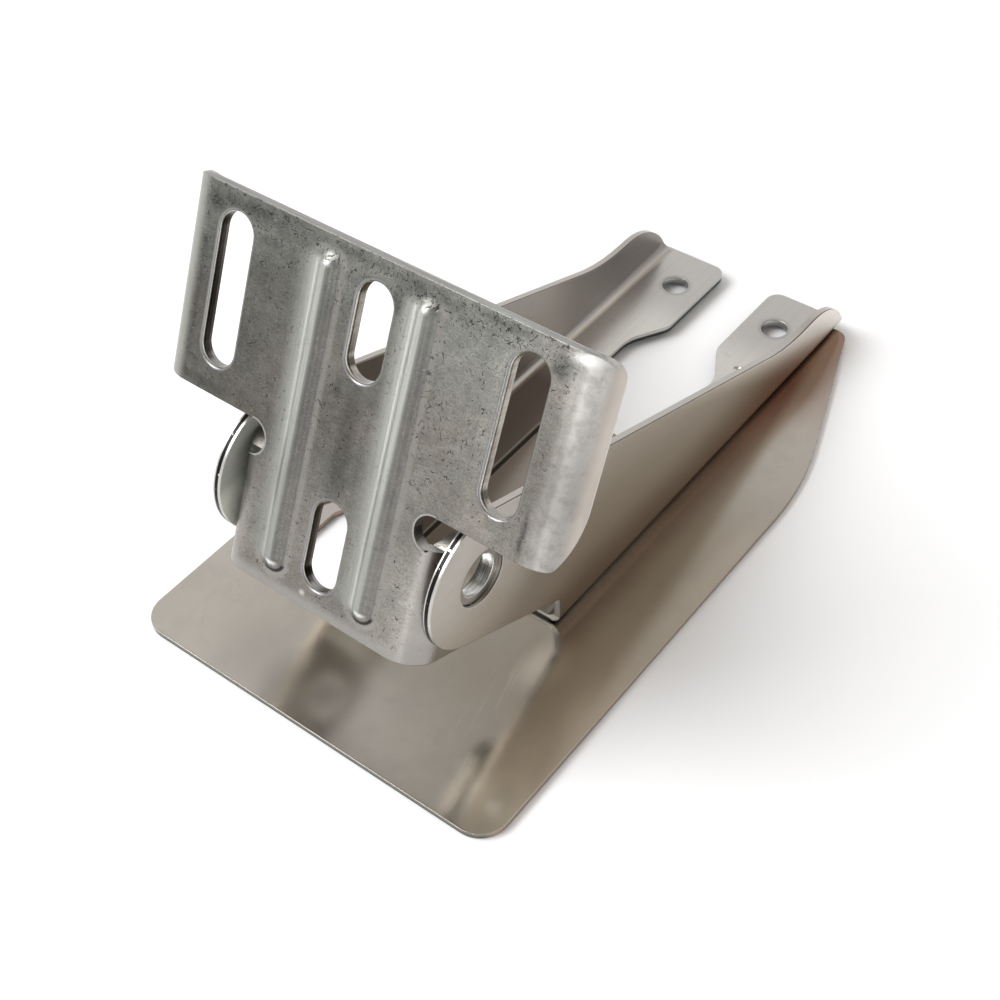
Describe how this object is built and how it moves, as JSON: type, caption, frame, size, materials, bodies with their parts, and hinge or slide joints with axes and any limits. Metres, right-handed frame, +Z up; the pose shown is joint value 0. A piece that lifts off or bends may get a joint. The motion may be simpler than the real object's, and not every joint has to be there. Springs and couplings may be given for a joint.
{
  "type": "transducer transom mount",
  "caption": "Bent-sheet steel mount: a slotted, beaded transom plate tilts between tapering arms that stand on a flat splash plate and end in drilled tabs for a transducer.",
  "frame": {"origin": "on the underside of the splash plate, straight below the middle of the pivot", "axes": "+X along the pivot to the right as seen from the boat, +Y towards the tail, away from the boat, +Z up from the splash plate"},
  "size_m": [0.0716, 0.1294, 0.0725],
  "materials": {
    "plate_steel": "tumbled satin stainless sheet, mottled, with fine dark pits and scratches",
    "sheet_steel": "smooth semi-gloss cold-rolled stainless sheet"
  },
  "bodies": {
    "carrier": {"splash_plate": "sheet_steel", "arm_left": "sheet_steel", "arm_right": "sheet_steel"},
    "hull_plate": {"transom_plate": "plate_steel"}
  },
  "joints": [
    {"name": "pivot_tilt", "type": "hinge", "parent": "carrier", "child": "hull_plate", "pos_m": [0, 0, 0.0305], "axis": [1, 0, 0], "range_deg": [-58, 75]}
  ]
}
